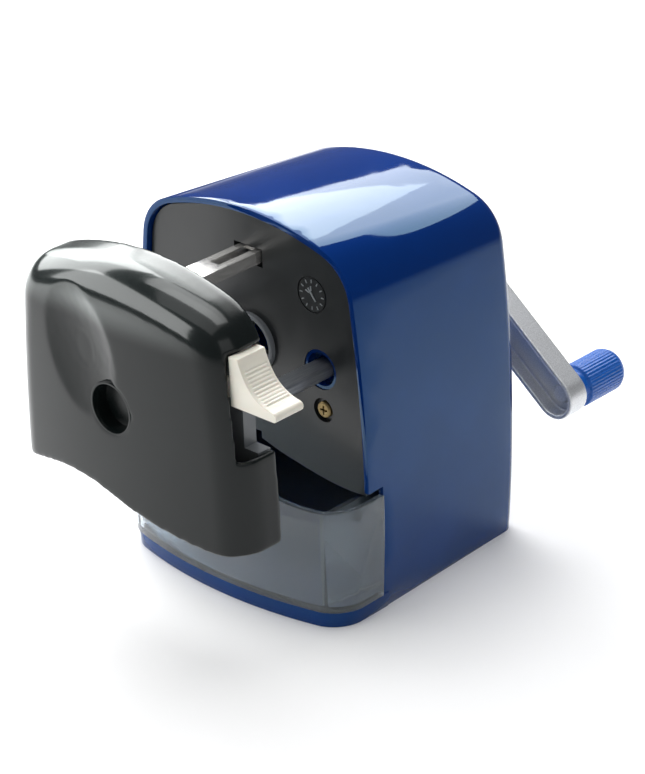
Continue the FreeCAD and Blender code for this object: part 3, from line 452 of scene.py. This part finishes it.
groove_cutters = []
for index in range(GROOVES):
    groove_x, groove_z = on_ramp(0.2 + 0.55 * index / (GROOVES - 1))
    groove_cutters.append(rod(GROOVE_RADIUS, 8.0, (groove_x, THUMB_MIDDLE, groove_z), 10))
carved(lever, groove_cutters)
moulded(lever, 0.17, 4)
fitted(lever, "release_lever", ivory, "lever")

# ---------------------------------------------------------------------------------------------
# Knob and crank arm
# ---------------------------------------------------------------------------------------------
knob_low, knob_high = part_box("knob")
knob_x, knob_z = [(knob_low[axis] + knob_high[axis]) / 2 / MM for axis in (0, 2)]
ribbed_knob = taken_from("knob", "ribbed_knob")
RIBS = 40
RIB_GROOVE_RADIUS = 0.36
RIB_REACH = 6.48
KNOB_MIDDLE = 70.6
rib_cutters = []
for index in range(RIBS):
    turn = 2 * math.pi * index / RIBS
    rib_x = knob_x + RIB_REACH * math.cos(turn)
    rib_z = knob_z + RIB_REACH * math.sin(turn)
    rib_cutters.append(rod(RIB_GROOVE_RADIUS, 14.6, (rib_x, KNOB_MIDDLE, rib_z), 8))
carved(ribbed_knob, rib_cutters)
moulded(ribbed_knob, 0.14, 2)
fitted(ribbed_knob, "knob", knob_plastic, "knob_body")

cast_arm = taken_from("crank_arm", "cast_arm")
moulded(cast_arm, 0.28, 4)
fitted(cast_arm, "crank_arm", cast_metal, "crank")

# ---------------------------------------------------------------------------------------------
# Housing and drawer with softened edges, and the date stamp raised on the plate
# ---------------------------------------------------------------------------------------------
housing = taken_from("housing_shell", "blue_housing")
softened(housing, 0.35, 40.0)
fitted(housing, "housing_shell", blue_gloss, "housing")

drawer = taken_from("drawer", "clear_tray")
softened(drawer, 0.4, 40.0)
fitted(drawer, "drawer", clear, "drawer_body")

PLATE = -22.5
STAMP_X = 22.6
STAMP_Z = 88.7
STAMP_TICKS = 12
STAMP_BAR_THICKNESS = 0.3

# The stamp's raised bars are a pale grey, far lighter than the black plate around them.
stamp_plastic = plastic("pale grey stamp plastic", linear(140, 146, 148), 0.3, 0.2, 0.002, 0.05)


def stamp_bar(name, width, height, reach, turn):
    """One raised bar of the date stamp, standing a little way out from its middle."""
    x = STAMP_X + reach * math.sin(turn)
    z = STAMP_Z + reach * math.cos(turn)
    place = Vector((x, PLATE - 0.02, z)) * MM
    bpy.ops.mesh.primitive_cube_add(size=1.0, location=place, rotation=(0, turn, 0))
    bar = bpy.context.object
    bar.name = name
    bar.scale = (width * MM, STAMP_BAR_THICKNESS * MM, height * MM)
    settled(bar)
    softened(bar, 0.08)
    bar.data.materials.append(stamp_plastic)
    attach(bar, "housing")


for index in range(STAMP_TICKS):
    stamp_bar(f"stamp_tick_{index + 1}", 0.3, 0.95, 3.75, 2 * math.pi * index / STAMP_TICKS)
stamp_bar("stamp_pointer", 0.5, 4.2, 0.0, math.radians(-38))
for index, turn in enumerate((-68, -8)):
    stamp_bar(f"stamp_arrow_{index + 1}", 0.4, 1.3, 1.7, math.radians(turn))

# ---------------------------------------------------------------------------------------------
# Floor, light and camera
# ---------------------------------------------------------------------------------------------
nothing_selected()
bpy.ops.mesh.primitive_plane_add(size=6.0, location=(0, 0, 0))
floor = bpy.context.object
floor.name = "studio_floor"
paper = Finish("white studio paper", roughness=0.75)
shade = paper.mix(paper.noise(60.0, 3.0), linear(246, 246, 246), linear(251, 251, 251))
paper.set("Base Color", shade)
floor.data.materials.append(paper.material)


def softbox(name, place, target, width, height, radiance, along=(0, 0, 1), shape="RECTANGLE"):
    """A lamp panel at a place in millimetres, facing a target; its width runs along a direction."""
    area = width * height * MM * MM
    bpy.ops.object.light_add(type="AREA")
    lamp = bpy.context.object
    lamp.name = name
    lamp.data.shape = shape
    lamp.data.size = width * MM
    lamp.data.size_y = height * MM
    lamp.data.energy = radiance * area * math.pi * (math.pi / 4 if shape == "ELLIPSE" else 1.0)

    outward = (Vector(place) - Vector(target)).normalized()
    across = Vector(along) - Vector(along).dot(outward) * outward
    across.normalize()
    frame_axes = Matrix((across, outward.cross(across), outward)).transposed().to_4x4()
    lamp.matrix_world = Matrix.Translation(Vector(place) * MM) @ frame_axes


softbox("top_softbox", (-181, 478, 508), (18, 6, 104), 784, 260, 4.7, (0.92, 0.09, 0.39), "ELLIPSE")
softbox("left_softbox", (-590, 60, 440), (0, -66, 100), 680, 460, 4.2, (0.5, 0.85, 0))
softbox("near_softbox", (-150, 60, 216), (0, -52, 105), 250, 150, 2.7, (1, 0.35, 0.1))
softbox("crown_softbox", (0, 50, 640), (20, -56, 100), 620, 360, 2.6, (1, 0, 0))
softbox("corner_softbox", (-430, -560, 400), (0, -66, 100), 760, 480, 3.0, (0.8, -0.6, 0))
softbox("overhead_panel", (100, -300, 1200), (0, -60, 0), 1200, 1200, 0.6, (1, 0, 0))
softbox("right_panel", (900, -300, 420), (30, 0, 60), 600, 500, 0.7, (0, 1, 0))

world = bpy.data.worlds.new("studio")
bpy.context.scene.world = world
world.use_nodes = True
background = world.node_tree.nodes["Background"]
background.inputs["Color"].default_value = (0.95, 0.97, 1.0, 1.0)
background.inputs["Strength"].default_value = 0.15

TURN = math.radians(44.03)
TILT = math.radians(26.24)
ROLL = math.radians(-2.11)
DISTANCE = 790.5
AIM = Vector((-3.083, 6.73, 43.02))
back = Vector((math.sin(TURN) * math.cos(TILT), -math.cos(TURN) * math.cos(TILT), math.sin(TILT)))
level = Vector((math.cos(TURN), math.sin(TURN), 0.0))
upright = back.cross(level)
right = math.cos(ROLL) * level + math.sin(ROLL) * upright
up = -math.sin(ROLL) * level + math.cos(ROLL) * upright

bpy.ops.object.camera_add()
camera = bpy.context.object
camera.name = "studio_camera"
turned = Matrix((right, up, back)).transposed().to_4x4()
camera.matrix_world = Matrix.Translation((AIM + DISTANCE * back) * MM) @ turned
camera.data.sensor_width = 36.0
camera.data.lens = 133.16
camera.data.clip_start = 0.05
camera.data.clip_end = 20.0
bpy.context.scene.camera = camera
bpy.context.scene.view_settings.view_transform = "Standard"
